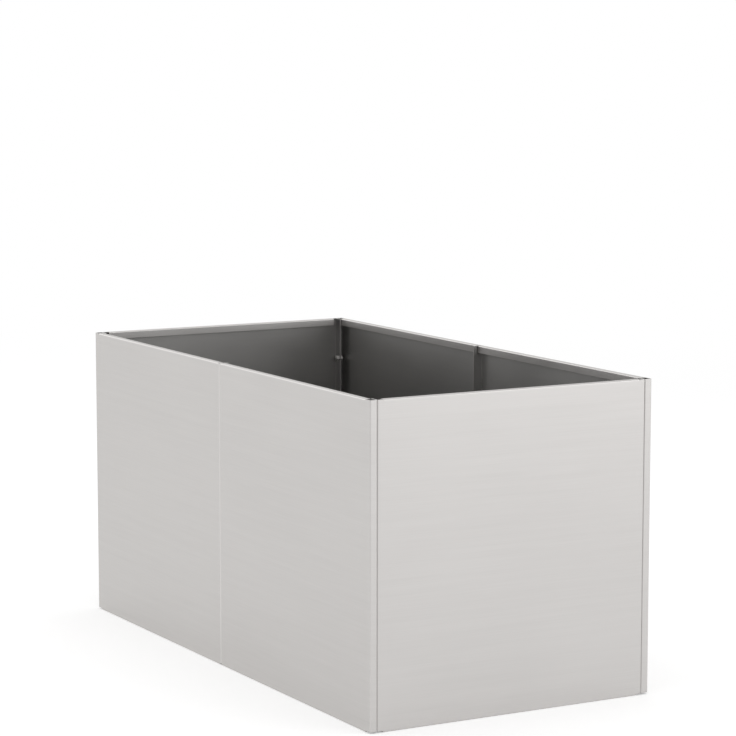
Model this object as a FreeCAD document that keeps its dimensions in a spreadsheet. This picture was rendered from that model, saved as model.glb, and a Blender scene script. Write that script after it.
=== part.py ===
# Stainless steel floor planter, folded from thin sheet and bolted together.
#
# Frame: origin at the middle of the footprint on the ground, +X along the length,
# +Y across the width, +Z up. Millimetres.
#
# Four side panels and two end panels make the box. Every panel is one sheet with its
# edges folded inwards: a rim with a turned-down lip at the top, a foot at the bottom and
# a bolting flange at each upright edge. The side panels meet at mid length, and their
# outer edges wrap a narrow strip round the corner, so that each end panel sits between
# two strips. Two base plates lie on the feet and hook together at mid length, and a tie
# bar keeps the long walls from bulging.
import FreeCAD, Part
import math
import os
import re
import Sketcher

doc = FreeCAD.newDocument("SteelPlanter")
sizes = doc.addObject("Spreadsheet::Sheet", "Sizes")

DRIVING_SIZES = [
    # the box
    ("box_length", 800),
    ("box_width", 400),
    ("box_height", 400),
    # the sheet and its folds
    ("gauge", 1),
    ("bend", 0.5),
    ("rim_width", 8),
    ("rim_lip", 10),
    ("foot_width", 20),
    ("wrap", 10),
    ("corner_flange", 14),
    ("seam_flange", 14),
    # what is left flat beside a bend, and then cut away where two folds meet
    ("bend_land", 0.2),
    ("slit", 0.3),
    ("side_setback", 12),
    ("end_setback", 8),
    ("mitre_gap", 1),
    # how far below the rim the upright edges end
    ("top_step", 0.3),
    # how far a cut runs past what it cuts
    ("overrun", 1),
    # screws and nuts
    ("shank", 5),
    ("shank_length", 8),
    ("head_across", 8),
    ("head_height", 3.5),
    ("nut_across", 8),
    ("nut_height", 4),
    ("thread_gap", 0.1),
    ("hole_gap", 0.5),
    # where the screws are: up from the ground, down from the rim, in from the outer faces
    ("low_screw_rise", 60),
    ("top_screw_drop", 60),
    ("corner_screw_inset", 8),
    ("seam_screw_inset", 8),
    # base plates
    ("base_gap", 1),
    ("base_flange", 16),
    ("hook_gap", 0.3),
    ("hook_drop", 10),
    ("drain", 12),
    ("drain_margin", 80),
    # tie bar, hung from the seam flanges by its own pair of screws
    ("tie_gauge", 1.5),
    ("tie_drop", 100),
    ("tie_leg", 25),
    ("tie_shelf", 14),
    ("tie_end_gap", 3),
    ("tie_notch", 24),
]

for row, (name, size) in enumerate(DRIVING_SIZES, start=1):
    sizes.set(f"A{row}", name)
    sizes.set(f"B{row}", str(size))
    sizes.setAlias(f"B{row}", name)
doc.recompute()

# Places worked out from the driving sizes.
HALF_LENGTH = "(box_length / 2)"
HALF_WIDTH = "(box_width / 2)"
END_HALF = "(box_width / 2 - wrap)"
# how far from an outer face the folds that cross it start
RELIEF = "(gauge + bend + bend_land + slit)"
TIE_HEIGHT = "(box_height - tie_drop)"
SCREW_HOLE = "(shank + hole_gap)"
FLANGE_CUT = "(2 * gauge + 2 * overrun)"
# from the first screw of a row to its last: up a corner, and from seam to seam
CORNER_ROW = "(box_height - low_screw_rise - top_screw_drop)"
SEAM_ROW = "(box_width - 2 * seam_screw_inset)"


def bound(expression):
    """Point every size name in an expression at its cell."""
    return re.sub(r"\b[a-z]\w*\b(?!\()", lambda word: "Sizes." + word.group(), expression)


def value(expression):
    return float(sizes.evalExpression(bound(expression)))


def drive(thing, setting, expression):
    """Tie one setting of an object to the sizes."""
    thing.setExpression(setting, bound(expression))


# Sketches


def origin_feature(body, role):
    return next(item for item in body.Origin.OriginFeatures if item.Role == role)


def sketch_on(body, role, name, lift="0"):
    """Lay a sketch on one of the body's own planes, lifted along its normal."""
    sketch = body.newObject("Sketcher::SketchObject", name)
    sketch.AttachmentSupport = [(origin_feature(body, role), "")]
    sketch.MapMode = "FlatFace"
    if lift != "0":
        drive(sketch, ".AttachmentOffset.Base.z", lift)
    return sketch


def hold(sketch, kind, geometry, point, expression):
    """Hold a point of the sketch at its distance from the origin, along one axis."""
    if expression == "0":
        axis = -1 if kind == "DistanceY" else -2
        sketch.addConstraint(Sketcher.Constraint("PointOnObject", geometry, point, axis))
        return
    datum = Sketcher.Constraint(kind, -1, 1, geometry, point, value(expression))
    drive(sketch, f"Constraints[{sketch.addConstraint(datum)}]", expression)


def side_kind(corner, following):
    if corner[0] == following[0]:
        return "upright"
    return "level" if corner[1] == following[1] else "slanted"


def outline(sketch, corners):
    """Close an outline through corners (x, y) or, where the sheet is bent, (x, y, radius).

    Upright and level sides are each held at one distance, so a bend is an arc tangent to
    the two sides that meet there. A slanted side is held at its two end points.
    """
    count = len(corners)
    points = [FreeCAD.Vector(value(corner[0]), value(corner[1]), 0) for corner in corners]
    radii = [corner[2] if len(corner) > 2 else None for corner in corners]
    kinds = [side_kind(corners[i], corners[(i + 1) % count]) for i in range(count)]

    def trimmed(i, towards):
        """The tangent point of the bend at a corner, or the corner itself."""
        if radii[i] is None:
            return points[i]
        return points[i] + (points[towards] - points[i]).normalize() * value(radii[i])

    sides = []
    for i in range(count):
        after = (i + 1) % count
        line = Part.LineSegment(trimmed(i, after), trimmed(after, i))
        sides.append(sketch.addGeometry(line, False))

    for i, side in enumerate(sides):
        before = sides[i - 1]
        if kinds[i] == "upright":
            sketch.addConstraint(Sketcher.Constraint("Vertical", side))
            hold(sketch, "DistanceX", side, 1, corners[i][0])
        elif kinds[i] == "level":
            sketch.addConstraint(Sketcher.Constraint("Horizontal", side))
            hold(sketch, "DistanceY", side, 1, corners[i][1])
        if "slanted" in (kinds[i], kinds[i - 1]):
            if "upright" not in (kinds[i], kinds[i - 1]):
                hold(sketch, "DistanceX", side, 1, corners[i][0])
            if "level" not in (kinds[i], kinds[i - 1]):
                hold(sketch, "DistanceY", side, 1, corners[i][1])
        if radii[i] is None:
            sketch.addConstraint(Sketcher.Constraint("Coincident", before, 2, side, 1))
        else:
            bend_between(sketch, before, side, points, i, radii[i])


def bend_between(sketch, before, after, points, i, radius):
    """Join two sides of an outline by a quarter-turn arc."""
    back = (points[i - 1] - points[i]).normalize()
    onward = (points[(i + 1) % len(points)] - points[i]).normalize()
    size = value(radius)
    centre = points[i] + (back + onward) * size
    turns_left = back.cross(onward).z < 0
    first, last = (-onward, -back) if turns_left else (-back, -onward)
    start = math.atan2(first.y, first.x)
    finish = math.atan2(last.y, last.x)
    circle = Part.Circle(centre, FreeCAD.Vector(0, 0, 1), size)
    arc = sketch.addGeometry(Part.ArcOfCircle(circle, start, finish), False)
    at_before, at_after = (1, 2) if turns_left else (2, 1)
    sketch.addConstraint(Sketcher.Constraint("Tangent", arc, at_before, before, 2))
    sketch.addConstraint(Sketcher.Constraint("Tangent", arc, at_after, after, 1))
    datum = sketch.addConstraint(Sketcher.Constraint("Radius", arc, size))
    drive(sketch, f"Constraints[{datum}]", radius)


def round_hole(sketch, x, y, diameter):
    place = FreeCAD.Vector(value(x), value(y), 0)
    circle = Part.Circle(place, FreeCAD.Vector(0, 0, 1), value(diameter) / 2)
    hole = sketch.addGeometry(circle, False)
    hold(sketch, "DistanceX", hole, 3, x)
    hold(sketch, "DistanceY", hole, 3, y)
    datum = sketch.addConstraint(Sketcher.Constraint("Diameter", hole, value(diameter)))
    drive(sketch, f"Constraints[{datum}]", diameter)


# Features


def new_body(label):
    body = doc.addObject("PartDesign::Body", label)
    body.Label = label
    body.AllowCompound = True
    return body


def pad(body, sketch, name, thickness):
    feature = body.newObject("PartDesign::Pad", name)
    feature.Profile = sketch
    drive(feature, "Length", thickness)
    return feature


def cut_through(body, sketch, name, depth=None):
    """Cut both ways from the sketch: all through, or as deep in all as given."""
    feature = body.newObject("PartDesign::Pocket", name)
    feature.Profile = sketch
    feature.SideType = "Symmetric"
    if depth is None:
        feature.Type = "ThroughAll"
    else:
        drive(feature, "Length", depth)
    return feature


def repeat(body, features, name, axis, row):
    """Repeat features once more at the far end of a row."""
    pattern = body.newObject("PartDesign::LinearPattern", name)
    pattern.Originals = features
    pattern.Direction = (origin_feature(body, axis), [""])
    pattern.Occurrences = 2
    drive(pattern, "Length", row)
    body.Tip = pattern
    return pattern


def place(body, x="0", y="0", z="0", axis=(0, 0, 1), turn=0):
    body.Placement = FreeCAD.Placement(
        FreeCAD.Vector(value(x), value(y), value(z)),
        FreeCAD.Rotation(FreeCAD.Vector(axis), turn),
    )
    for letter, expression in (("x", x), ("y", y), ("z", z)):
        if expression != "0":
            drive(body, f".Placement.Base.{letter}", expression)


# Wall panels. In a panel's own frame its outer face is y = 0 and +y points into the box.


def folded_section(body, start, finish):
    """Fold the rim, its lip and the foot from the sheet, between two places along x."""
    sketch = sketch_on(body, "YZ_Plane", "SectionSketch", start)
    outline(
        sketch,
        [
            ("0", "0", "bend + gauge"),
            ("0", "box_height", "bend + gauge"),
            ("rim_width", "box_height", "bend + gauge"),
            ("rim_width", "box_height - rim_lip"),
            ("rim_width - gauge", "box_height - rim_lip"),
            ("rim_width - gauge", "box_height - gauge", "bend"),
            ("gauge", "box_height - gauge", "bend"),
            ("gauge", "gauge", "bend"),
            ("foot_width", "gauge"),
            ("foot_width", "0"),
        ],
    )
    pad(body, sketch, "Section", f"{finish} - ({start})")


def mitre(body, name, hand, corner, setback):
    """Cut the end of the foot off along a line from the corner of the box.

    corner is where the corner lies along x, and setback how far from it the folds start.
    The cut reaches deeper into the box than either fold. The narrow rim ends short of it.
    """
    depth = "(rim_width + foot_width)"
    sketch = sketch_on(body, "XY_Plane", f"{name}Sketch")
    edge = f"{hand} * ({corner} - {setback})"
    outline(
        sketch,
        [
            (edge, f"{setback} - mitre_gap"),
            (edge, depth),
            (f"{hand} * ({corner} - mitre_gap - {depth})", depth),
        ],
    )
    cut_through(body, sketch, name)


def upright_edges(body, low_run, high_run, rim_starts, rim_ends):
    """Fold both upright edges, given as runs of corners in plan, from the sheet.

    The face between them stops short of the rim and foot by the relief. The edges alone
    go on up beside the rim, parted from it by a slit.
    """
    plan = sketch_on(body, "XY_Plane", "PlanSketch", RELIEF)
    outline(plan, low_run + high_run)
    pad(body, plan, "Plan", f"box_height - 2 * {RELIEF}")

    tabs = sketch_on(body, "XY_Plane", "TabSketch", f"box_height - {RELIEF}")
    outline(tabs, low_run + [(rim_starts, "0"), (rim_starts, "gauge")])
    outline(tabs, high_run + [(rim_ends, "gauge"), (rim_ends, "0")])
    pad(body, tabs, "Tabs", f"{RELIEF} - top_step")


def flange_holes(body, name, role, lift, across, depth=None):
    """Drill the corner holes of an upright flange, one low and one high."""
    sketch = sketch_on(body, role, f"{name}Sketch", lift)
    round_hole(sketch, across, "low_screw_rise", SCREW_HOLE)
    hole = cut_through(body, sketch, name, depth)
    repeat(body, [hole], f"{name}Row", "Z_Axis", CORNER_ROW)


def side_panel(label, hand, front):
    """Half of a long wall. hand is +1 with its corner towards +x of its own frame."""
    body = new_body(label)
    start, finish = RELIEF, f"{HALF_LENGTH} - side_setback"
    if hand < 0:
        start, finish = f"-({finish})", f"-{start}"
    folded_section(body, start, finish)
    mitre(body, "Mitre", hand, HALF_LENGTH, "side_setback")

    # the flange at the seam, then the strip round the corner with the flange behind it
    corner = f"{hand} * {HALF_LENGTH}"
    inner_corner = f"{hand} * ({HALF_LENGTH} - gauge)"
    flange_end = f"{hand} * ({HALF_LENGTH} - corner_flange)"
    seam_run = [
        (f"{hand} * gauge", "gauge", "bend"),
        (f"{hand} * gauge", "seam_flange"),
        ("0", "seam_flange"),
        ("0", "0", "bend + gauge"),
    ]
    corner_run = [
        (corner, "0", "bend + gauge"),
        (corner, "wrap", "bend + gauge"),
        (flange_end, "wrap"),
        (flange_end, "wrap - gauge"),
        (inner_corner, "wrap - gauge", "bend"),
        (inner_corner, "gauge", "bend"),
    ]
    rim_at_seam = f"{hand} * ({RELIEF} - slit)"
    rim_at_corner = f"{hand} * ({HALF_LENGTH} - side_setback + slit)"
    upright_edges(body, seam_run, corner_run, rim_at_seam, rim_at_corner)

    corner_x = f"{hand} * ({HALF_LENGTH} - corner_screw_inset)"
    flange_holes(body, "CornerHole", "XZ_Plane", "-wrap", corner_x, FLANGE_CUT)
    seam_holes = sketch_on(body, "YZ_Plane", "SeamHoleSketch")
    round_hole(seam_holes, "seam_screw_inset", "low_screw_rise", SCREW_HOLE)
    round_hole(seam_holes, "seam_screw_inset", TIE_HEIGHT, SCREW_HOLE)
    cut_through(body, seam_holes, "SeamHole", FLANGE_CUT)

    if front:
        place(body, y=f"-{HALF_WIDTH}")
    else:
        place(body, y=HALF_WIDTH, turn=180)
    return body


def end_panel(label, side):
    """An end wall. side is -1 at the -X end and +1 at the +X end."""
    body = new_body(label)
    clear = f"{END_HALF} - end_setback"
    folded_section(body, f"-({clear})", clear)
    for hand, name in ((-1, "LeftMitre"), (1, "RightMitre")):
        mitre(body, name, hand, HALF_WIDTH, "(wrap + end_setback)")

    left_run = [
        (f"gauge - {END_HALF}", "gauge", "bend"),
        (f"gauge - {END_HALF}", "corner_flange"),
        (f"-{END_HALF}", "corner_flange"),
        (f"-{END_HALF}", "0", "bend + gauge"),
    ]
    right_run = [
        (END_HALF, "0", "bend + gauge"),
        (END_HALF, "corner_flange"),
        (f"{END_HALF} - gauge", "corner_flange"),
        (f"{END_HALF} - gauge", "gauge", "bend"),
    ]
    upright_edges(body, left_run, right_run, f"-({clear} + slit)", f"{clear} + slit")
    flange_holes(body, "Hole", "YZ_Plane", "0", "corner_screw_inset")
    place(body, x=f"{side} * {HALF_LENGTH}", turn=90 * side)
    return body


# Base plates and tie bar


def base_plate(label, side, section):
    """Half of the floor. It lies on the feet, notched round the upright flanges.

    section is its folded edge at mid length, in x and z.
    """
    body = new_body(label)
    inner = f"{side} * (gauge + base_gap)"
    outer = f"{side} * ({HALF_LENGTH} - gauge - base_gap)"
    notch_x = f"{side} * ({HALF_LENGTH} - corner_flange - base_gap)"
    edge_y = f"({HALF_WIDTH} - gauge - base_gap)"
    notch_y = f"({HALF_WIDTH} - wrap - gauge - base_gap)"
    plate = sketch_on(body, "XY_Plane", "PlateSketch", "gauge")
    outline(
        plate,
        [
            (inner, f"-{edge_y}"),
            (notch_x, f"-{edge_y}"),
            (notch_x, f"-{notch_y}"),
            (outer, f"-{notch_y}"),
            (outer, notch_y),
            (notch_x, notch_y),
            (notch_x, edge_y),
            (inner, edge_y),
        ],
    )
    pad(body, plate, "Plate", "gauge")

    folded_edge = sketch_on(body, "XZ_Plane", "EdgeSketch", f"-({HALF_WIDTH} - seam_flange - base_gap)")
    outline(folded_edge, section)
    pad(body, folded_edge, "Edge", "box_width - 2 * seam_flange - 2 * base_gap")

    drains = sketch_on(body, "XY_Plane", "DrainSketch")
    first_x = "drain_margin" if side > 0 else f"drain_margin - {HALF_LENGTH}"
    round_hole(drains, first_x, f"drain_margin - {HALF_WIDTH}", "drain")
    drain_hole = cut_through(body, drains, "Drain")
    grid = repeat(body, [drain_hole], "DrainGrid", "X_Axis", f"{HALF_LENGTH} - 2 * drain_margin")
    grid.Direction2 = (origin_feature(body, "Y_Axis"), [""])
    grid.Occurrences2 = 2
    drive(grid, "Length2", "box_width - 2 * drain_margin")
    return body


def base_plates():
    """The two plates: the left one turns up an edge, and the right one hooks over it."""
    left_top = "gauge + base_flange"
    upturned = [
        ("-base_flange", "gauge"),
        ("0", "gauge", "bend + gauge"),
        ("0", left_top),
        ("-gauge", left_top),
        ("-gauge", "2 * gauge", "bend"),
        ("-base_flange", "2 * gauge"),
    ]
    roof = f"{left_top} + bend + hook_gap"
    roof_top = f"{roof} + gauge"
    hook_end = f"{roof_top} - hook_drop"
    far_side = "-gauge - 2 * bend"
    hooked = [
        ("base_flange", "gauge"),
        ("0", "gauge", "bend + gauge"),
        ("0", roof, "bend"),
        (far_side, roof, "bend"),
        (far_side, hook_end),
        (f"{far_side} - gauge", hook_end),
        (f"{far_side} - gauge", roof_top, "bend + gauge"),
        ("gauge", roof_top, "bend + gauge"),
        ("gauge", "2 * gauge", "bend"),
        ("base_flange", "2 * gauge"),
    ]
    return [
        base_plate("base_plate_left", -1, upturned),
        base_plate("base_plate_right", 1, hooked),
    ]


def tie_bar():
    """Angle bar from seam to seam, upright leg against the flanges and shelf on top."""
    body = new_body("tie_bar")
    low, high = f"{TIE_HEIGHT} - tie_leg / 2", f"{TIE_HEIGHT} + tie_leg / 2"
    section = sketch_on(body, "XZ_Plane", "SectionSketch", f"tie_end_gap - {HALF_WIDTH}")
    outline(
        section,
        [
            ("gauge", low),
            ("gauge", high, "bend + tie_gauge"),
            ("gauge + tie_shelf", high),
            ("gauge + tie_shelf", f"{high} - tie_gauge"),
            ("gauge + tie_gauge", f"{high} - tie_gauge", "bend"),
            ("gauge + tie_gauge", low),
        ],
    )
    pad(body, section, "Section", "box_width - 2 * tie_end_gap")

    # the shelf stops short at both ends, on a slant, so that a spanner reaches the nuts
    root = "(gauge + tie_gauge + bend)"
    edge = "(gauge + tie_shelf + overrun)"
    for side, name in ((-1, "FrontClip"), (1, "BackClip")):
        clip = sketch_on(body, "XY_Plane", f"{name}Sketch", TIE_HEIGHT)
        outline(
            clip,
            [
                (root, f"{side} * {HALF_WIDTH}"),
                (edge, f"{side} * {HALF_WIDTH}"),
                (edge, f"{side} * ({HALF_WIDTH} - tie_notch - {edge} + {root})"),
                (root, f"{side} * ({HALF_WIDTH} - tie_notch)"),
            ],
        )
        feature = body.newObject("PartDesign::Pocket", name)
        feature.Profile = clip
        feature.Reversed = True
        drive(feature, "Length", "tie_leg")

    holes = sketch_on(body, "YZ_Plane", "HoleSketch")
    round_hole(holes, f"seam_screw_inset - {HALF_WIDTH}", TIE_HEIGHT, SCREW_HOLE)
    hole = cut_through(body, holes, "Hole")
    repeat(body, [hole], "HoleRow", "Y_Axis", SEAM_ROW)
    return body


# Screws and nuts. Each node is one row of two. In its own frame the two sheets that it
# clamps meet at x = 0, the heads are on the -x side and the row runs along +z.


def hexagon(body, name, seat, across, thickness):
    """A hexagonal prism about the x axis, as wide across its flats as given."""
    prism = body.newObject("PartDesign::AdditivePrism", name)
    prism.AttachmentSupport = [(origin_feature(body, "YZ_Plane"), "")]
    prism.MapMode = "FlatFace"
    drive(prism, ".AttachmentOffset.Base.z", seat)
    drive(prism, "Circumradius", f"{across} / sqrt(3)")
    drive(prism, "Height", thickness)
    return prism


def screw_row(label, row):
    body = new_body(f"{label}_screws")
    head = hexagon(body, "Head", "-gauge - head_height", "head_across", "head_height")
    circle = sketch_on(body, "YZ_Plane", "ShankSketch", "-gauge")
    round_hole(circle, "0", "0", "shank")
    shank = pad(body, circle, "Shank", "shank_length")
    repeat(body, [head, shank], "Row", "Z_Axis", row)
    return body


def nut_row(label, row, seat):
    body = new_body(f"{label}_nuts")
    prism = hexagon(body, "Prism", seat, "nut_across", "nut_height")
    bore = sketch_on(body, "YZ_Plane", "BoreSketch")
    round_hole(bore, "0", "0", "shank + thread_gap")
    hole = cut_through(body, bore, "Bore")
    repeat(body, [prism, hole], "Row", "Z_Axis", row)
    return body


def screwed_row(label, row, seat="gauge", **where):
    """A row of screws and its row of nuts, put in the same place."""
    pair = [screw_row(label, row), nut_row(label, row, seat)]
    for body in pair:
        place(body, **where)
    return pair


# The whole planter

subparts = [
    side_panel("side_panel_front_left", -1, True),
    side_panel("side_panel_front_right", 1, True),
    side_panel("side_panel_back_left", 1, False),
    side_panel("side_panel_back_right", -1, False),
    end_panel("end_panel_left", -1),
    end_panel("end_panel_right", 1),
    *base_plates(),
    tie_bar(),
]

for end, end_name in ((-1, "left"), (1, "right")):
    for side, side_name in ((-1, "front"), (1, "back")):
        subparts += screwed_row(
            f"corner_{side_name}_{end_name}",
            CORNER_ROW,
            x=f"{end} * ({HALF_LENGTH} - corner_screw_inset)",
            y=f"{side} * {END_HALF}",
            z="low_screw_rise",
            turn=90 * side,
        )

# the rows of the seams run from the front one to the back one, so their z is turned to +Y
FROM_FRONT_SEAM = {"y": f"seam_screw_inset - {HALF_WIDTH}", "axis": (1, 0, 0), "turn": -90}
subparts += screwed_row("seam", SEAM_ROW, z="low_screw_rise", **FROM_FRONT_SEAM)
subparts += screwed_row("tie", SEAM_ROW, "gauge + tie_gauge", z=TIE_HEIGHT, **FROM_FRONT_SEAM)

doc.recompute()

for item in doc.Objects:
    if "Invalid" in item.State or "Error" in item.State:
        raise RuntimeError(f"{item.Name} did not build: {item.State}")
for subpart in subparts:
    if subpart.Shape.isNull() or not subpart.Shape.isValid():
        raise RuntimeError(f"{subpart.Label} has no valid shape")

os.makedirs("parts", exist_ok=True)
for subpart in subparts:
    subpart.Shape.exportStep(f"parts/{subpart.Label}.step")
    print(subpart.Label, len(subpart.Shape.Solids), "solids", round(subpart.Shape.Volume), "mm3")
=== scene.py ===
# %% [markdown]
# # A folded stainless steel planter
#
# The real object is a long box without a lid. Its walls are six thin sheets, each cut flat,
# folded on a press brake and screwed to its neighbours from the inside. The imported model
# gives its exact size and the place of every part, so it is loaded first and never moved.
# The walls, screws and nuts are then made again with finer bends and edges, and everything
# gets its metal.
#
# All sizes are in metres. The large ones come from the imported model's box, so nothing has
# to be fitted by eye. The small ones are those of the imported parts, and each cell names the
# ones that it needs first.

import math

import bmesh
import bpy
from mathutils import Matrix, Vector


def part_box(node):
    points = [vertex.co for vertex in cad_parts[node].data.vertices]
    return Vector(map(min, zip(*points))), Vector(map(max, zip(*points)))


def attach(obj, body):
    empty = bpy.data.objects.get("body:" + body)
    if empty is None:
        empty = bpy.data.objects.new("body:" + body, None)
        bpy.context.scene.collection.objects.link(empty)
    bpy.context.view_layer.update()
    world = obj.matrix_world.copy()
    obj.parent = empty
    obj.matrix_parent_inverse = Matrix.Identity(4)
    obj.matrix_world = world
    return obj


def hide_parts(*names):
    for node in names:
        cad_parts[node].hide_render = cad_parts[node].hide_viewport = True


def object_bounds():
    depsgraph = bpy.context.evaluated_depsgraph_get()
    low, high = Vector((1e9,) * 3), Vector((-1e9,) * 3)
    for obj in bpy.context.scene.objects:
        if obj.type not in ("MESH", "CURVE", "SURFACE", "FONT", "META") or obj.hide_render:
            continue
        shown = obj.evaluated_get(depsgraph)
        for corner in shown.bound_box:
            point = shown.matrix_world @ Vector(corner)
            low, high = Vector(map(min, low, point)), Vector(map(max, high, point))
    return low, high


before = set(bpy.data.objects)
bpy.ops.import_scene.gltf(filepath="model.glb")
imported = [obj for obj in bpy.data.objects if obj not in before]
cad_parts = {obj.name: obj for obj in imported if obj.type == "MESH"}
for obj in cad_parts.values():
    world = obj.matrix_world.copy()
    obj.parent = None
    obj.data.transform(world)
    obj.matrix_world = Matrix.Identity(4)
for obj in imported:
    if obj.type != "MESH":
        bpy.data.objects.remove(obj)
cad_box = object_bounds()
length, width, height = cad_box[1] - cad_box[0]
print("box", [round(side, 4) for side in (length, width, height)])

# %% [markdown]
# ## Selecting by place
#
# By hand, an edge is picked with the mouse. Here the same is done by a test of where its
# middle is. Everything is deselected first, because an operator acts on all that is
# selected.


# %% Helpers that stand in for the mouse
def deselect():
    """Close any open piece and deselect everything."""
    if bpy.context.object and bpy.context.object.mode != "OBJECT":
        bpy.ops.object.mode_set(mode="OBJECT")
    bpy.ops.object.select_all(action="DESELECT")


def take(piece):
    """Select one piece alone and make it the active one."""
    deselect()
    piece.select_set(True)
    bpy.context.view_layer.objects.active = piece


def open_piece(piece):
    """Enter edit mode on one piece."""
    take(piece)
    bpy.ops.object.mode_set(mode="EDIT")


def middle(part):
    """The middle of a corner, an edge or a face."""
    if isinstance(part, bmesh.types.BMVert):
        return part.co
    return sum((corner.co for corner in part.verts), Vector()) / len(part.verts)


def pick(piece, kind, test):
    """Select the corners, edges or faces of the open piece whose middle passes the test."""
    bpy.ops.mesh.select_mode(type=kind)
    bpy.ops.mesh.select_all(action="DESELECT")
    mesh = bmesh.from_edit_mesh(piece.data)
    parts = {"VERT": mesh.verts, "EDGE": mesh.edges, "FACE": mesh.faces}[kind]
    for part in parts:
        if test(middle(part)):
            part.select_set(True)
    bmesh.update_edit_mesh(piece.data)


def settle(piece, name):
    """Name a piece, and put its place into its mesh."""
    take(piece)
    bpy.ops.object.transform_apply(location=True, rotation=True, scale=True)
    piece.name = piece.data.name = name
    return piece


# %% [markdown]
# ## The flat sheet
#
# A sheet metal part starts as a flat blank, and so does this one: a plane is bisected along
# the lines where the corners are notched, the corners are deleted, and each remaining edge
# is extruded by the depth of its fold. A finished box with walls would be quicker, but the
# blank gives the right notches and mitres, and its flat map keeps the grain of the steel
# running round every bend.


# %% Cut the blank of a wall
QUARTER = math.pi / 2
TINY = 0.00001  # less than this apart is the same place
RELIEF = 0.002  # depth of the notches beside the foot and of the slits beside the rim
SLIT = 0.0003  # width of those slits
TOP_STEP = 0.0003  # how far the upright edges stay below the rim


def blank(low, high, left_cut, right_cut):
    """A flat face from low to high along x, notched below and slit above at each side."""
    deselect()
    bpy.ops.mesh.primitive_plane_add(
        size=1, location=((low + high) / 2, 0, height / 2), rotation=(QUARTER, 0, 0)
    )
    piece = bpy.context.object
    piece.scale = (high - low, height, 1)
    settle(piece, "blank")
    open_piece(piece)
    rim_low, rim_high = low + left_cut, high - right_cut
    for at in (rim_low - SLIT, rim_low, rim_high, rim_high + SLIT):
        bpy.ops.mesh.select_all(action="SELECT")
        bpy.ops.mesh.bisect(plane_co=(at, 0, 0), plane_no=(1, 0, 0))
    for at in (RELIEF, height - RELIEF):
        bpy.ops.mesh.select_all(action="SELECT")
        bpy.ops.mesh.bisect(plane_co=(0, 0, at), plane_no=(0, 0, 1))

    def cut_away(spot):
        beside = not rim_low < spot.x < rim_high
        in_slit = rim_low - SLIT < spot.x < rim_high + SLIT
        return beside and (spot.z < RELIEF or (in_slit and spot.z > height - RELIEF))

    def above_edges(spot):
        return spot.z > height - TINY and not rim_low - TINY < spot.x < rim_high + TINY

    pick(piece, "FACE", cut_away)
    bpy.ops.mesh.delete(type="FACE")
    pick(piece, "VERT", above_edges)
    bpy.ops.transform.translate(value=(0, 0, -TOP_STEP))
    return piece


# %% Extrude the folds and map the blank
RIM_WIDTH = 0.008
RIM_LIP = 0.010  # the edge that is folded down under the rim
FOOT_WIDTH = 0.020
MITRE_GAP = 0.001  # how far a foot's slanted end stays off the corner's diagonal


def grow(piece, test, *steps):
    """Extrude the picked edge once for each step."""
    pick(piece, "EDGE", test)
    for step in steps:
        bpy.ops.mesh.extrude_edges_move(TRANSFORM_OT_translate={"value": step})


def grow_rim_and_foot(piece, setback, ends):
    """Extrude the rim and its lip at the top, and the foot with its mitred ends below."""
    grow(piece, lambda spot: spot.z > height - TINY, (0, 0, RIM_WIDTH), (0, 0, RIM_LIP))
    straight = setback - MITRE_GAP
    slanted = FOOT_WIDTH - straight
    grow(piece, lambda spot: spot.z < TINY, (0, 0, -straight), (0, 0, -slanted))
    for test, way in ends:
        pick(piece, "VERT", lambda spot: spot.z < TINY - FOOT_WIDTH and test(spot))
        bpy.ops.transform.translate(value=(way * slanted, 0, 0))


def lay_map(piece):
    """Write the place of every corner on the flat blank, in metres, as its UV."""
    mesh = bmesh.from_edit_mesh(piece.data)
    layer = mesh.loops.layers.uv.verify()
    for face in mesh.faces:
        for loop in face.loops:
            loop[layer].uv = (loop.vert.co.x, loop.vert.co.z)
    print("blank:", len(mesh.faces), "flat faces")
    bmesh.update_edit_mesh(piece.data)


# %% The blank of half a long wall, with its corner to the right
SIDE_SETBACK = 0.012  # how far from the corner the rim ends
WRAP = 0.010  # the strip that goes round the corner
CORNER_FLANGE = 0.014
SEAM_FLANGE = 0.014
half = length / 2
side_sheet = blank(0, half, RELIEF, SIDE_SETBACK)
grow_rim_and_foot(side_sheet, SIDE_SETBACK, [(lambda spot: spot.x > half / 2, -1)])
grow(
    side_sheet,
    lambda spot: spot.x > half - TINY,
    (WRAP, 0, 0),
    (CORNER_FLANGE, 0, 0),
)
grow(side_sheet, lambda spot: spot.x < TINY, (-SEAM_FLANGE, 0, 0))
lay_map(side_sheet)

# %% [markdown]
# ## Folding
#
# Each fold turns everything beyond a line by a quarter turn, the outermost fold first, as
# the press brake does it. The sharp fold lines are then bevelled into round bends. Six steps
# in each bend are enough for a smooth line of light.


# %% Fold a sheet along a line
def fold(piece, test, axis, line, angle):
    """Turn the corners that pass the test about a line."""
    pick(piece, "VERT", test)
    bpy.ops.transform.rotate(value=angle, orient_axis=axis, center_override=line)


def fold_rim_and_foot(piece):
    """Fold the lip, then the rim, then the foot."""
    rim_edge = height + RIM_WIDTH
    fold(piece, lambda spot: spot.z > rim_edge + TINY, "X", (0, 0, rim_edge), QUARTER)
    fold(piece, lambda spot: spot.z > height + TINY, "X", (0, 0, height), QUARTER)
    fold(piece, lambda spot: spot.z < -TINY, "X", (0, 0, 0), -QUARTER)


# %% Round the bends
OUTER_BEND = 0.0015
BEND_STEPS = 6


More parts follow.
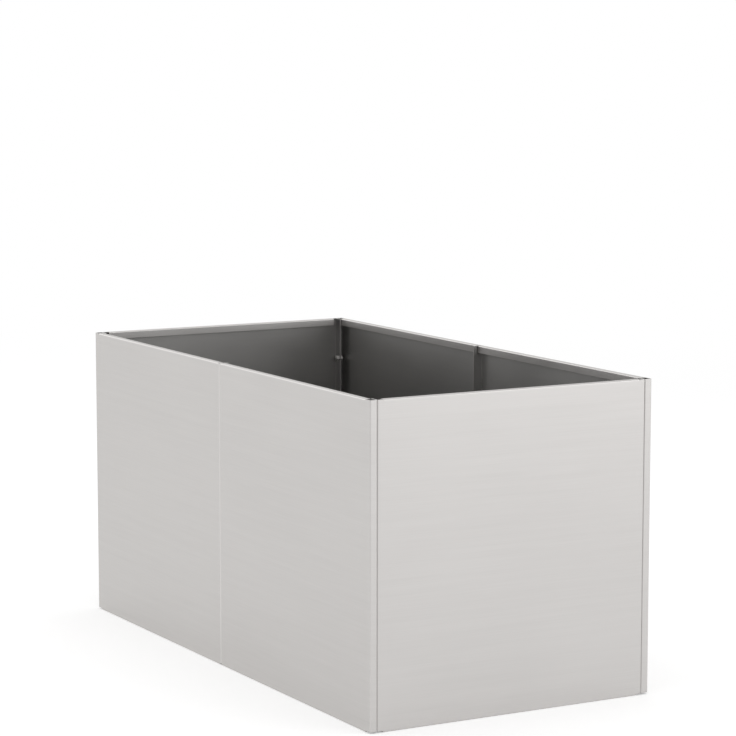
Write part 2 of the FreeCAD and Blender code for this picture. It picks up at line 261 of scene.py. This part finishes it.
def round_bends(piece, gets_highlight):
    """Bevel all fold lines, and mark the bends with a painted highlight in an attribute."""
    bpy.ops.mesh.select_mode(type="EDGE")
    bpy.ops.mesh.select_all(action="DESELECT")
    bpy.ops.mesh.edges_select_sharp(sharpness=QUARTER / 2)
    bpy.ops.mesh.bevel(
        offset=OUTER_BEND,
        offset_type="OFFSET",
        segments=BEND_STEPS,
        profile=0.5,
        affect="EDGES",
    )
    mesh = bmesh.from_edit_mesh(piece.data)
    layer = mesh.verts.layers.float.new("seam_highlight")
    for corner in mesh.verts:
        in_bend = all(face.select for face in corner.link_faces)
        corner[layer] = in_bend and gets_highlight(corner.co)
    bmesh.update_edit_mesh(piece.data)


# %% Give the sheet its thickness
GAUGE = 0.001


def finish_modifiers(piece):
    """Apply all the modifiers of a piece."""
    take(piece)
    for modifier in list(piece.modifiers):
        bpy.ops.object.modifier_apply(modifier=modifier.name)


def thicken(piece):
    """Give the sheet its gauge, with the other side of the steel in the second slot."""
    take(piece)
    for name in ("outside", "inside"):
        piece.data.materials.append(bpy.data.materials.new(name))
    gauge = piece.modifiers.new("gauge", "SOLIDIFY")
    gauge.thickness = GAUGE
    gauge.offset = -1
    gauge.use_even_offset = True
    gauge.material_offset = 1
    finish_modifiers(piece)


# %% Fold the half wall
fold(side_sheet, lambda spot: spot.x > half + WRAP + TINY, "Z", (half + WRAP, 0, 0), -QUARTER)
fold(side_sheet, lambda spot: spot.x > half + TINY, "Z", (half, 0, 0), -QUARTER)
fold(side_sheet, lambda spot: spot.x < -TINY, "Z", (0, 0, 0), QUARTER)
fold_rim_and_foot(side_sheet)
# only the bends at the seam get the painted highlight
round_bends(side_sheet, lambda spot: spot.x < OUTER_BEND)
thicken(side_sheet)
print("half wall:", len(side_sheet.data.polygons), "faces")

# %% [markdown]
# ## Screw holes
#
# The upright flanges are drilled for the screws. A round hole in a flat flange is a boolean
# cut with a cylinder, which is exact and leaves the rest of the sheet alone.


# %% Drill the flanges
HOLE = 0.0055
ROUND_SIDES = 48
DRILL_LENGTH = 6 * GAUGE


def combine(piece, other, operation):
    """Cut or trim a piece with another one, which is used up."""
    step = piece.modifiers.new(operation, "BOOLEAN")
    step.operation = operation
    step.solver = "EXACT"
    step.object = other
    finish_modifiers(piece)
    bpy.data.objects.remove(other)


def drill(piece, spots, axis):
    """Cut a hole through the sheet at each spot, along x or y."""
    turn = (0, QUARTER, 0) if axis == "X" else (QUARTER, 0, 0)
    for spot in spots:
        deselect()
        bpy.ops.mesh.primitive_cylinder_add(
            vertices=ROUND_SIDES,
            radius=HOLE / 2,
            depth=DRILL_LENGTH,
            location=spot,
            rotation=turn,
        )
        combine(piece, bpy.context.object, "DIFFERENCE")


# %% The holes of the half wall
LOW_SCREW = 0.060
HIGH_SCREW = height - LOW_SCREW
TIE_SCREW = height - 0.100
CORNER_INSET = 0.008
SEAM_INSET = 0.008
corner_spot = half - CORNER_INSET
drill(side_sheet, [(corner_spot, WRAP, LOW_SCREW), (corner_spot, WRAP, HIGH_SCREW)], "Y")
drill(side_sheet, [(0, SEAM_INSET, LOW_SCREW), (0, SEAM_INSET, TIE_SCREW)], "X")
print("half wall with holes:", len(side_sheet.data.polygons), "faces")

# %% [markdown]
# ## The end wall
#
# It is folded and drilled with the same helpers. The long walls reach round the corners with
# a narrow strip, and the end wall is just wide enough to sit between two strips. It has a
# flange at both sides and no seam.

# %% The end wall, folded the same way
END_SETBACK = 0.008  # how far from the panel's edge the rim ends
end_half = width / 2 - WRAP
end_sheet = blank(-end_half, end_half, END_SETBACK, END_SETBACK)
grow_rim_and_foot(
    end_sheet,
    WRAP + END_SETBACK,
    [(lambda spot: spot.x > 0, -1), (lambda spot: spot.x < 0, 1)],
)
grow(end_sheet, lambda spot: spot.x > end_half - TINY, (CORNER_FLANGE, 0, 0))
grow(end_sheet, lambda spot: spot.x < TINY - end_half, (-CORNER_FLANGE, 0, 0))
lay_map(end_sheet)
fold(end_sheet, lambda spot: spot.x > end_half + TINY, "Z", (end_half, 0, 0), -QUARTER)
fold(end_sheet, lambda spot: spot.x < -end_half - TINY, "Z", (-end_half, 0, 0), QUARTER)
fold_rim_and_foot(end_sheet)
round_bends(end_sheet, lambda spot: False)
thicken(end_sheet)
for side in (-1, 1):
    spots = [(side * end_half, CORNER_INSET, rise) for rise in (LOW_SCREW, HIGH_SCREW)]
    drill(end_sheet, spots, "X")
print("end wall:", len(end_sheet.data.polygons), "faces")

# %% [markdown]
# ## Six walls from two sheets
#
# The four half walls are one shape and its mirror image, and the two ends are equal. Each
# copy has its own mesh. Its map is moved along the coil of steel that the sheets are cut
# from, so that no two sheets show the same grain. A mirrored copy is inside out, so its
# normals are made consistent again. Weighted normals keep the flat faces flat in the shading
# beside their round bends.


# %% Copy a sheet to its place
COIL_STEP = 1.3  # more than the length of any blank
SMOOTH_ANGLE = QUARTER / 3  # edges that turn by less are shaded as round
FLAT_FACE_WEIGHT = 100


def wall(sheet, node, turn, x, y, mirrored, place_on_coil):
    """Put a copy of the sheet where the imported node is, and let it stand for that node."""
    piece = sheet.copy()
    piece.data = sheet.data.copy()
    bpy.context.scene.collection.objects.link(piece)
    if mirrored:
        piece.scale.x = -1
        settle(piece, "mirrored")
        open_piece(piece)
        bpy.ops.mesh.select_all(action="SELECT")
        bpy.ops.mesh.normals_make_consistent(inside=False)
    deselect()
    piece.rotation_euler.z = turn
    piece.location = (x, y, 0)
    settle(piece, "folded_" + node)
    for spot in piece.data.uv_layers[0].data:
        spot.uv.x += place_on_coil * COIL_STEP
    bpy.ops.object.shade_smooth_by_angle(angle=SMOOTH_ANGLE)
    weights = piece.modifiers.new("flat faces stay flat", "WEIGHTED_NORMAL")
    weights.keep_sharp = True
    weights.weight = FLAT_FACE_WEIGHT
    finish_modifiers(piece)
    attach(piece, "root")
    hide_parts(node)
    return piece


# %% The six walls
half_width = width / 2
walls = [
    wall(side_sheet, "side_panel_front_right", 0, 0, -half_width, False, 0),
    wall(side_sheet, "side_panel_front_left", 0, 0, -half_width, True, 1),
    wall(side_sheet, "side_panel_back_left", math.pi, 0, half_width, False, 2),
    wall(side_sheet, "side_panel_back_right", math.pi, 0, half_width, True, 3),
    wall(end_sheet, "end_panel_right", QUARTER, half, 0, False, 4),
    wall(end_sheet, "end_panel_left", -QUARTER, -half, 0, False, 5),
]
for sheet in (side_sheet, end_sheet):
    bpy.data.objects.remove(sheet)


# %% Measure the walls
def volume(piece):
    """The volume of a closed mesh."""
    mesh = bmesh.new()
    mesh.from_mesh(piece.data)
    made = mesh.calc_volume(signed=True)
    mesh.free()
    return made


for piece in walls:
    print(piece.name, len(piece.data.polygons), "faces", round(volume(piece) * 1e6, 2), "cm3")

# %% [markdown]
# ## Screws and nuts
#
# They are small, and seen only from above, but a plain prism looks like a toy. A real
# hexagon screw has its corners turned off to a cone, a round face under its head and a
# thread. The hexagon and the cone are two simple shapes, and a boolean keeps what they
# share. The screws are made lying along x, with the two sheets that they clamp meeting
# at x = 0.


# %% Helpers for rods and cones
HEX_ACROSS = 0.008
CHAMFER = 0.0005
CHAMFER_DRAW = 0.80  # how narrow a rod becomes at the end of its chamfer
CONE_ROOM = 1.02  # how much wider the cone is than the hexagon that it trims
CONE_SIDES = 72


def rod(name, radius, low, high, sides=ROUND_SIDES):
    """A cylinder about the x axis between two places."""
    deselect()
    bpy.ops.mesh.primitive_cylinder_add(
        vertices=sides,
        radius=radius,
        depth=high - low,
        location=((low + high) / 2, 0, 0),
        rotation=(0, QUARTER, 0),
    )
    return settle(bpy.context.object, name)


def taper(piece, end, way):
    """Extrude one end of a rod a little further, and draw it in to a cone."""
    open_piece(piece)
    pick(piece, "FACE", lambda spot: abs(spot.x - end) < TINY)
    bpy.ops.mesh.extrude_region_move(TRANSFORM_OT_translate={"value": (way * CHAMFER, 0, 0)})
    bpy.ops.transform.resize(
        value=(1, CHAMFER_DRAW, CHAMFER_DRAW), center_override=(end, 0, 0)
    )
    deselect()


# %% Trim a hexagon with a cone
def hexagon(name, low, high, ends):
    """A hexagonal prism about x, chamfered at the given ends, -1 for low and 1 for high.

    At each end one of the two shapes is longer, and the cone is a little wider than the
    prism and turned by half a facet, so that no two faces or edges fall together.
    """
    corner = HEX_ACROSS / math.sqrt(3)
    past_low, past_high = (CHAMFER if way in ends else -CHAMFER for way in (-1, 1))
    prism = rod(name, corner, low - max(past_low, 0), high + max(past_high, 0), sides=6)
    cone_low, cone_high = low + past_low, high - past_high
    cone = rod("cone", corner * CONE_ROOM, cone_low, cone_high, sides=CONE_SIDES)
    open_piece(cone)
    bpy.ops.mesh.select_all(action="SELECT")
    bpy.ops.transform.rotate(
        value=math.pi / CONE_SIDES, orient_axis="X", center_override=(0, 0, 0)
    )
    for way, end in ((-1, cone_low), (1, cone_high)):
        if way in ends:
            taper(cone, end, way)
    combine(prism, cone, "INTERSECT")
    return prism


# %% The head of the screw
HEAD_HEIGHT = 0.0035
WASHER_FACE = 0.0003
head = hexagon("head", -GAUGE - HEAD_HEIGHT, -GAUGE - WASHER_FACE, (-1,))
print("head:", len(head.data.polygons), "faces")

# %% [markdown]
# The thread is a small triangle that the Screw modifier winds round the core, rising one
# pitch in each turn. Its two open ends are filled. It runs a little way into the core, so
# that no gap shows between them.

# %% The thread
SHANK = 0.005
THREAD_PITCH = 0.0008
THREAD_TURNS = 8
THREAD_TOOTH = 0.00044
STEPS_IN_A_TURN = 20
deselect()
bpy.ops.mesh.primitive_circle_add(
    vertices=3,
    radius=THREAD_TOOTH,
    location=(0, 0, SHANK / 2 - THREAD_TOOTH),
    rotation=(QUARTER, 0, 0),
)
thread = settle(bpy.context.object, "thread")
winding = thread.modifiers.new("winding", "SCREW")
winding.axis = "X"
winding.screw_offset = THREAD_PITCH
winding.iterations = THREAD_TURNS
winding.steps = winding.render_steps = STEPS_IN_A_TURN
finish_modifiers(thread)
open_piece(thread)
bpy.ops.mesh.select_all(action="SELECT")
bpy.ops.mesh.fill_holes(sides=3)
bpy.ops.mesh.select_all(action="SELECT")
bpy.ops.mesh.normals_make_consistent(inside=False)
deselect()
print("thread:", [round(side * 1000, 2) for side in thread.dimensions], "mm")

# %% The whole screw
SHANK_LENGTH = 0.008
THREAD_DEPTH = 0.0004
CORE_SIDES = 32
WASHER_SHARE = 0.47
thread_end = SHANK_LENGTH - GAUGE - CHAMFER
core = rod("core", SHANK / 2 - THREAD_DEPTH, -GAUGE - WASHER_FACE, thread_end, CORE_SIDES)
taper(core, thread_end, 1)
washer_face = rod("washer_face", HEX_ACROSS * WASHER_SHARE, -GAUGE - WASHER_FACE, -GAUGE)
take(thread)
wound_to = max(corner.co.x for corner in thread.data.vertices)
bpy.ops.transform.translate(value=(thread_end - wound_to, 0, 0))
settle(thread, "thread")
take(head)
for part in (washer_face, core, thread):
    part.select_set(True)
bpy.ops.object.join()
screw = settle(head, "screw")
print("screw:", len(screw.data.polygons), "faces")

# %% The nut
NUT_HEIGHT = 0.004
NUT_BORE = 0.0051
nut = hexagon("nut", 0, NUT_HEIGHT, (-1, 1))
combine(nut, rod("bore", NUT_BORE / 2, -CHAMFER, NUT_HEIGHT + CHAMFER), "DIFFERENCE")
print("nut:", len(nut.data.polygons), "faces")

# %% [markdown]
# ## Pairs of screws and nuts
#
# Each corner has two screws, one above the other, and so has each seam, where the upper one
# also holds the tie bar. One model is copied to every place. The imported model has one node
# for a pair: the two of a corner, or the two at the same height on the front and back seams.
# So the copies of a pair are joined, and the boxes of the pair and its node are compared as
# a check.


# %% Put a pair in place
def pair(model, node, spots, turn, shift=0):
    """Join turned copies of a model at the spots, and let them stand for a node.

    shift moves them along their own axis, to seat a nut on the sheets under it.
    """
    deselect()
    copies = []
    for spot in spots:
        one = model.copy()
        one.data = model.data.copy()
        bpy.context.scene.collection.objects.link(one)
        one.rotation_euler = turn
        away = one.rotation_euler.to_matrix() @ Vector((shift, 0, 0))
        one.location = Vector(spot) + away
        copies.append(one)
    for one in copies:
        one.select_set(True)
    bpy.context.view_layer.objects.active = copies[0]
    bpy.ops.object.join()
    piece = settle(copies[0], "fine_" + node)
    bpy.ops.object.shade_smooth_by_angle(angle=SMOOTH_ANGLE)
    low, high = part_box(node)
    # A bounding box lists its lowest corner first, and its highest one seventh.
    made_low, made_high = piece.bound_box[0], piece.bound_box[6]
    gap = max(abs(made_low[i] - low[i]) + abs(made_high[i] - high[i]) for i in range(3))
    print(piece.name, "differs from its node by", round(gap * 1000, 3), "mm")
    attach(piece, "root")
    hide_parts(node)
    return piece


# %% The pairs of the corners and seams
TIE_GAUGE = 0.0015
screws = []
nuts = []
for side, side_name in ((-1, "front"), (1, "back")):
    for end, end_name in ((-1, "left"), (1, "right")):
        x, y = end * (half - CORNER_INSET), side * (half_width - WRAP)
        spots = [(x, y, LOW_SCREW), (x, y, HIGH_SCREW)]
        turn = (0, 0, side * QUARTER)
        label = f"corner_{side_name}_{end_name}"
        screws.append(pair(screw, label + "_screws", spots, turn))
        nuts.append(pair(nut, label + "_nuts", spots, turn, GAUGE))
for label, rise, seat in (("seam", LOW_SCREW, GAUGE), ("tie", TIE_SCREW, GAUGE + TIE_GAUGE)):
    y = half_width - SEAM_INSET
    spots = [(0, -y, rise), (0, y, rise)]
    turn = (QUARTER, 0, 0)
    screws.append(pair(screw, label + "_screws", spots, turn))
    nuts.append(pair(nut, label + "_nuts", spots, turn, seat))
for model in (screw, nut):
    bpy.data.objects.remove(model)

# %% [markdown]
# ## Steel
#
# Stainless sheet is metal through and through, so its colour is the tint of what it
# mirrors. What tells one sheet from another is how sharply it mirrors. The outer side is
# brushed: millions of scratches along the sheet, each thinner than a hair. They are made
# from noise that is stretched along the map of the blank. The finest grain changes how
# sharply the steel mirrors. Hairlines, which show from nearby, and wider streaks, which show
# from afar, change how bright it is, and over them lie soft clouds. The bends at the seam
# get a lighter colour, a painted highlight. The sheet is never quite flat, and a long low
# wave in the bump lets the reflections swim a little.


# %% Helpers for nodes
def add(tree, kind, settings=None, values=None):
    """Add a node. A value that is a socket is linked, and any other is set."""
    node = tree.nodes.new("ShaderNode" + kind)
    for name, value in (settings or {}).items():
        setattr(node, name, value)
    for name, value in (values or {}).items():
        if isinstance(value, bpy.types.NodeSocket):
            tree.links.new(value, node.inputs[name])
        else:
            node.inputs[name].default_value = value
    return node


def empty_tree(block):
    """Turn on the nodes of a new material or world, and clear them."""
    block.use_nodes = True
    block.node_tree.nodes.clear()
    return block.node_tree


def steel(name):
    """A metal with only its shader in it, returned with its tree and shader."""
    material = bpy.data.materials.new(name)
    tree = empty_tree(material)
    shader = add(tree, "BsdfPrincipled", values={"Metallic": 1.0})
    add(tree, "OutputMaterial", values={"Surface": shader.outputs["BSDF"]})
    return material, tree, shader


# %% Helpers for patterns
NOISE_MIDDLE = {"From Min": 0.3, "From Max": 0.7}  # most of a noise lies between these


def blank_place(tree):
    """The place on the flat blank."""
    return add(tree, "UVMap", {"uv_map": "UVMap"}).outputs["UV"]


def stretched_noise(tree, place, scale, detail=2.0):
    """Noise with so many lumps in a metre along each axis."""
    spread = add(tree, "Mapping", values={"Vector": place, "Scale": scale})
    values = {"Vector": spread.outputs["Vector"], "Scale": 1.0, "Detail": detail}
    return add(tree, "TexNoise", values=values).outputs["Fac"]


def remap(tree, value, low=0.0, high=1.0):
    """Spread the middle of a noise over a range."""
    values = {"Value": value, **NOISE_MIDDLE, "To Min": low, "To Max": high}
    return add(tree, "MapRange", values=values).outputs["Result"]


def blend(tree, share, first, second):
    """Mix two colours. The node has sockets for numbers first, and for colours after them."""
    values = {0: share, 6: first, 7: second}
    return add(tree, "Mix", {"data_type": "RGBA"}, values).outputs[2]


def combined(tree, first, second, operation="ADD"):
    """Add two numbers, or combine them by another operation."""
    return add(tree, "Math", {"operation": operation}, {0: first, 1: second}).outputs[0]


def shaded(tint, share=1):
    """A tint made darker or lighter, with its alpha."""
    return tuple(share * part for part in tint) + (1,)


def bump(tree, height_value, depth, below=None):
    """A bump so many metres deep, on top of another one."""
    values = {"Height": height_value, "Distance": depth, "Strength": 1.0}
    if below is not None:
        values["Normal"] = below
    return add(tree, "Bump", values=values).outputs["Normal"]


# %% The brushed outer side
GRAIN = (45.0, 3600.0, 1.0)
HAIRLINES = (9.0, 1100.0, 1.0)
STREAKS = (3.0, 130.0, 1.0)
CLOUDS = (6.0, 7.0, 1.0)
WAVES = (6.5, 8.0, 1.0)
DARK_TINT = (0.537, 0.522, 0.511)
LIGHT_TINT = (0.552, 0.537, 0.526)
LINE_TINT = (0.60, 0.585, 0.574)
# the next tint is a painted highlight on the bends at the seam
SEAM_HIGHLIGHT_TINT = (0.65, 0.634, 0.622)
GLANCING_TINT = (0.86, 0.86, 0.85)
HAIRLINE_SHARE = 0.35
STREAK_SHARE = 0.25
GRAIN_ROUGHNESS = (0.30, 0.38)
CLOUD_ROUGHNESS = (-0.02, 0.03)
WAVE_DEPTH = 0.0006
GRAIN_DEPTH = 0.000004


def brushed_side():
    """The satin outer side of the walls."""
    material, tree, shader = steel("brushed_stainless")
    place = blank_place(tree)
    grain = stretched_noise(tree, place, GRAIN, 3.0)
    hairlines = stretched_noise(tree, place, HAIRLINES)
    streaks = stretched_noise(tree, place, STREAKS, 3.0)
    clouds = stretched_noise(tree, place, CLOUDS)
    waves = stretched_noise(tree, place, WAVES, 0.0)
    seam_highlight = add(tree, "Attribute", {"attribute_name": "seam_highlight"}).outputs["Fac"]
    plain = blend(tree, remap(tree, clouds), shaded(DARK_TINT), shaded(LIGHT_TINT))
    hairy = remap(tree, hairlines, 0.0, HAIRLINE_SHARE)
    lines = combined(tree, hairy, remap(tree, streaks, 0.0, STREAK_SHARE))
    lined = blend(tree, lines, plain, shaded(LINE_TINT))
    # the bends at the seam get a lighter colour: a painted highlight
    bright = blend(tree, seam_highlight, lined, shaded(SEAM_HIGHLIGHT_TINT))
    tree.links.new(bright, shader.inputs["Base Color"])
    shader.inputs["Specular Tint"].default_value = shaded(GLANCING_TINT)
    grainy = remap(tree, grain, *GRAIN_ROUGHNESS)
    rough = combined(tree, grainy, remap(tree, clouds, *CLOUD_ROUGHNESS))
    tree.links.new(rough, shader.inputs["Roughness"])
    wavy = bump(tree, waves, WAVE_DEPTH)
    tree.links.new(bump(tree, grain, GRAIN_DEPTH, wavy), shader.inputs["Normal"])
    return material


# %% [markdown]
# The inner side is left as it came from the rolling mill: duller, a little darker, with a
# fine even speckle and faint lines along the coil. It shows inside the planter, and part of
# its darkness is a painted shade for that deep inside. Parts that keep their imported mesh
# have no map, so their finish reads the object's own coordinates.

# %% The mill finish
SPECKLE = (1500.0, 1500.0, 1500.0)
ROLLING = (9.0, 260.0, 260.0)
MILL_CLOUDS = (5.0, 6.0, 6.0)
# darker than the outer steel: partly the duller mill finish, partly a painted shade for the
# inside
MILL_AND_SHADE_TINT = (0.38, 0.374, 0.366)
TIE_TINT = (0.55, 0.545, 0.535)
MILL_DARK = 0.92
MILL_LIGHT = 1.06
ROLLING_SHARE = 0.25
SPECKLE_ROUGHNESS = (0.36, 0.46)
MILL_CLOUD_ROUGHNESS = (-0.03, 0.03)
SPECKLE_DEPTH = 0.000006


def own_place(tree):
    """The place in the object's own coordinates."""
    return add(tree, "TexCoord").outputs["Object"]


def mill_side(name, tint, find_place):
    """The mill finish, on the blank's place or on the object's own."""
    material, tree, shader = steel(name)
    place = find_place(tree)
    speckle = stretched_noise(tree, place, SPECKLE)
    rolling = stretched_noise(tree, place, ROLLING)
    clouds = stretched_noise(tree, place, MILL_CLOUDS)
    light = shaded(tint, MILL_LIGHT)
    patchy = blend(tree, remap(tree, clouds), shaded(tint, MILL_DARK), light)
    lined = blend(tree, remap(tree, rolling, 0.0, ROLLING_SHARE), patchy, light)
    tree.links.new(lined, shader.inputs["Base Color"])
    speckled = remap(tree, speckle, *SPECKLE_ROUGHNESS)
    rough = combined(tree, speckled, remap(tree, clouds, *MILL_CLOUD_ROUGHNESS))
    tree.links.new(rough, shader.inputs["Roughness"])
    tree.links.new(bump(tree, speckle, SPECKLE_DEPTH), shader.inputs["Normal"])
    return material


# %% Dress the walls, the base plates and the tie bar
outer = brushed_side()
inner = mill_side("mill_stainless_and_shade", MILL_AND_SHADE_TINT, blank_place)
for piece in walls:
    piece.data.materials[0] = outer
    piece.data.materials[1] = inner
# the base plates get the same tint, with its painted shade
base_finish = mill_side("base_stainless_and_shade", MILL_AND_SHADE_TINT, own_place)
tie_finish = mill_side("tie_stainless", TIE_TINT, own_place)
for node, finish in (
    ("base_plate_left", base_finish),
    ("base_plate_right", base_finish),
    ("tie_bar", tie_finish),
):
    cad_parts[node].data.materials.clear()
    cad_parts[node].data.materials.append(finish)
print("finishes:", outer.name, inner.name, base_finish.name, tie_finish.name)


# %% Dress the screws and nuts
MOTTLE = (700.0, 700.0, 700.0)
SCRATCHES = (400.0, 3000.0, 5200.0)
MOTTLE_DARK = 0.85
SCRATCH_DEPTH = 0.000008
SCREW_TINT = (0.58, 0.572, 0.56)
NUT_TINT = (0.55, 0.545, 0.535)
SCREW_ROUGHNESS = (0.22, 0.36)
NUT_ROUGHNESS = (0.26, 0.40)


def bright_steel(name, tint, roughness):
    """Cold-formed hardware: bright, with a faint mottle and small scratches."""
    material, tree, shader = steel(name)
    place = own_place(tree)
    mottle = remap(tree, stretched_noise(tree, place, MOTTLE, 3.0))
    scratches = stretched_noise(tree, place, SCRATCHES)
    mottled = blend(tree, mottle, shaded(tint, MOTTLE_DARK), shaded(tint))
    tree.links.new(mottled, shader.inputs["Base Color"])
    tree.links.new(remap(tree, scratches, *roughness), shader.inputs["Roughness"])
    tree.links.new(bump(tree, scratches, SCRATCH_DEPTH), shader.inputs["Normal"])
    return material


for pieces, finish in (
    (screws, bright_steel("screw_stainless", SCREW_TINT, SCREW_ROUGHNESS)),
    (nuts, bright_steel("nut_stainless", NUT_TINT, NUT_ROUGHNESS)),
):
    for piece in pieces:
        piece.data.materials.clear()
        piece.data.materials.append(finish)
    print(finish.name, "on", len(pieces), "pairs")

# %% [markdown]
# ## Studio
#
# The floor is pale and wide. Where the camera, a mirror or glass sees it, it looks white,
# and it still takes the object's shadow, because near the object only a part of its white
# is its own light. Under the planter its colour is painted darker, a painted shade, and it
# loses that light as the feet go in, so that the drain holes look like holes. The world
# looks white too where it is seen, and is less bright as a light.


# %% What is seen, and where the floor is open
def seen_directly(tree):
    """1 where the camera, a reflection or glass looks, and 0 for the light itself."""
    path = add(tree, "LightPath").outputs
    both = combined(tree, path["Is Camera Ray"], path["Is Glossy Ray"], "MAXIMUM")
    return combined(tree, both, path["Is Transmission Ray"], "MAXIMUM")


def out_from_under(tree, place):
    """1 on the open floor, falling to 0 under the planter where the feet end."""
    spread = add(tree, "VectorMath", {"operation": "ABSOLUTE"}, {0: place}).outputs["Vector"]
    away = add(tree, "SeparateXYZ", values={"Vector": spread}).outputs
    ramps = []
    for axis, face in (("X", half), ("Y", half_width)):
        values = {"Value": away[axis], "From Min": face - FOOT_WIDTH, "From Max": face}
        ramps.append(add(tree, "MapRange", values=values).outputs["Result"])
    return combined(tree, *ramps, "MAXIMUM")


# %% Floor
WHITE = (1, 1, 1)
FLOOR_SIZE = 80
FLOOR_SPOTS = (3.0, 3.0, 3.0)
DULL_SPOT, PALE_SPOT = 0.80, 0.82  # what its spots send back to the object
# the floor's colour under the planter is a painted shade
OPEN_SHADE, UNDER_SHADE = 0.9, 0.2  # how light it looks in the open and under the planter
NEAR_GLOW = 0.36  # its own light near the object
GLOW_STARTS, GLOW_FULL = 1.2, 3.8  # where that begins to grow, and where it is pure white
deselect()
bpy.ops.mesh.primitive_plane_add(size=FLOOR_SIZE, location=(0, 0, 0))
floor = settle(bpy.context.object, "floor")
pale = bpy.data.materials.new("pale_floor")
tree = empty_tree(pale)
place = own_place(tree)
spots = remap(tree, stretched_noise(tree, place, FLOOR_SPOTS))
tint = blend(tree, spots, shaded(WHITE, DULL_SPOT), shaded(WHITE, PALE_SPOT))
as_light = add(tree, "BsdfDiffuse", values={"Color": tint}).outputs[0]

in_the_open = out_from_under(tree, place)
# under the planter the floor's colour is painted darker: a painted shade
shade = blend(tree, in_the_open, shaded(WHITE, UNDER_SHADE), shaded(WHITE, OPEN_SHADE))
matt = add(tree, "BsdfDiffuse", values={"Color": shade}).outputs[0]
own_light = combined(tree, in_the_open, NEAR_GLOW, "MULTIPLY")
glow = add(tree, "Emission", values={"Strength": own_light}).outputs[0]
near = add(tree, "AddShader", values={0: matt, 1: glow}).outputs[0]
far = add(tree, "Emission").outputs[0]
distance = add(tree, "VectorMath", {"operation": "LENGTH"}, {0: place}).outputs["Value"]
ramp = {"Value": distance, "From Min": GLOW_STARTS, "From Max": GLOW_FULL}
fade = add(tree, "MapRange", {"interpolation_type": "SMOOTHSTEP"}, ramp).outputs["Result"]
as_seen = add(tree, "MixShader", values={0: fade, 1: near, 2: far}).outputs[0]

either = {0: seen_directly(tree), 1: as_light, 2: as_seen}
surface = add(tree, "MixShader", values=either).outputs[0]
add(tree, "OutputMaterial", values={"Surface": surface})
floor.data.materials.append(pale)
print("floor:", len(tree.nodes), "nodes")

# %% World
WORLD_LIGHT = 0.62
world = bpy.data.worlds.new("studio")
bpy.context.scene.world = world
tree = empty_tree(world)
ramp = {"Value": seen_directly(tree), "To Min": WORLD_LIGHT, "To Max": 1.0}
level = add(tree, "MapRange", values=ramp).outputs["Result"]
sky = add(tree, "Background", values={"Color": shaded(WHITE), "Strength": level})
add(tree, "OutputWorld", values={"Surface": sky.outputs[0]})
print("world:", len(tree.nodes), "nodes")

# %% [markdown]
# Two large soft boxes give the walls their soft falls of light, one for the long wall and
# one for the end wall. They are wide, because a small bright one would draw a hard white
# line along every bend. The third box lights the floor from above, and it is hidden from
# reflections for the same reason.


# %% Soft boxes
def soft_box(name, place, aim, wide, high, watts):
    """A large flat lamp that faces a point."""
    data = bpy.data.lights.new(name, "AREA")
    data.shape = "RECTANGLE"
    data.size, data.size_y, data.energy = wide, high, watts
    lamp = bpy.data.objects.new(name, data)
    bpy.context.scene.collection.objects.link(lamp)
    lamp.location = place
    lamp.rotation_euler = (Vector(aim) - Vector(place)).to_track_quat("-Z", "Y").to_euler()
    lamp.visible_camera = False
    print(name, watts, "W")
    return lamp


soft_box("right_box", (2.3, 1.4, 1.0), (0.4, 0, 0.3), wide=1.8, high=1.7, watts=8.5)
soft_box("left_box", (-3.6, -2.0, 1.6), (0, 0, 0.3), wide=3.4, high=2.6, watts=22)
top_box = soft_box("top_box", (0.2, 0, 3.2), (0, 0, 0), wide=2.2, high=2.2, watts=15)
top_box.visible_glossy = False

# %% [markdown]
# ## Camera
#
# The photograph was taken with a long lens, from more than three metres away and less than
# half a metre above the rim. Its place and its lens come from matching the corners of the
# box. LENS_PIXELS is the length of the lens, in pixels of the photograph.

# %% Camera
CAMERA_PLACE = (3.115, -1.722, 0.835)
CAMERA_TURN = math.radians(60.77)
CAMERA_DIP = math.radians(7.27)
PHOTO_PIXELS = 736
LENS_PIXELS = 2694
SENSOR = 36
SIGHT = 200  # how far the camera sees
camera_data = bpy.data.cameras.new("camera")
camera_data.sensor_width = SENSOR
camera_data.lens = SENSOR * LENS_PIXELS / PHOTO_PIXELS
camera_data.clip_end = SIGHT
camera = bpy.data.objects.new("camera", camera_data)
bpy.context.scene.collection.objects.link(camera)
camera.location = CAMERA_PLACE
camera.rotation_euler = (QUARTER - CAMERA_DIP, 0, CAMERA_TURN)
bpy.context.scene.camera = camera
bpy.context.scene.view_settings.view_transform = "Standard"
print("camera", [round(part, 3) for part in camera.location])
